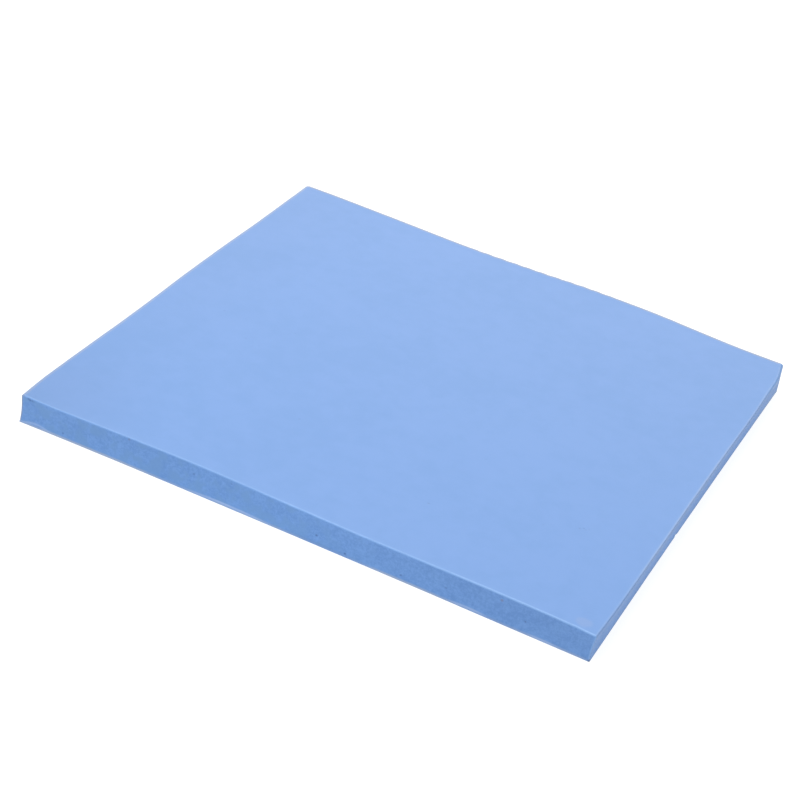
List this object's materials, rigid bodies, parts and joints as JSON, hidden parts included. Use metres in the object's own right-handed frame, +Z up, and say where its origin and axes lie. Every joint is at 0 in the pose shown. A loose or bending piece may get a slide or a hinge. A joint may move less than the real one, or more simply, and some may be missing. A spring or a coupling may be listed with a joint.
{
  "type": "thermal pad sheet",
  "caption": "Soft silicone gap filler pad: a square slab with knife-cut, slightly dished sides, laid between a hot part and a heatsink.",
  "frame": {"origin": "under the middle of the sheet's outline, on the plane the underside lies on", "axes": "+X along the front cut, +Y from the front cut to the back cut, +Z up out of the top face"},
  "size_m": [0.1006, 0.1016, 0.005],
  "materials": {
    "pad_silicone": "matte light blue silicone with a faint sheen"
  },
  "bodies": {
    "root": {"pad_sheet": "pad_silicone"}
  },
  "joints": []
}
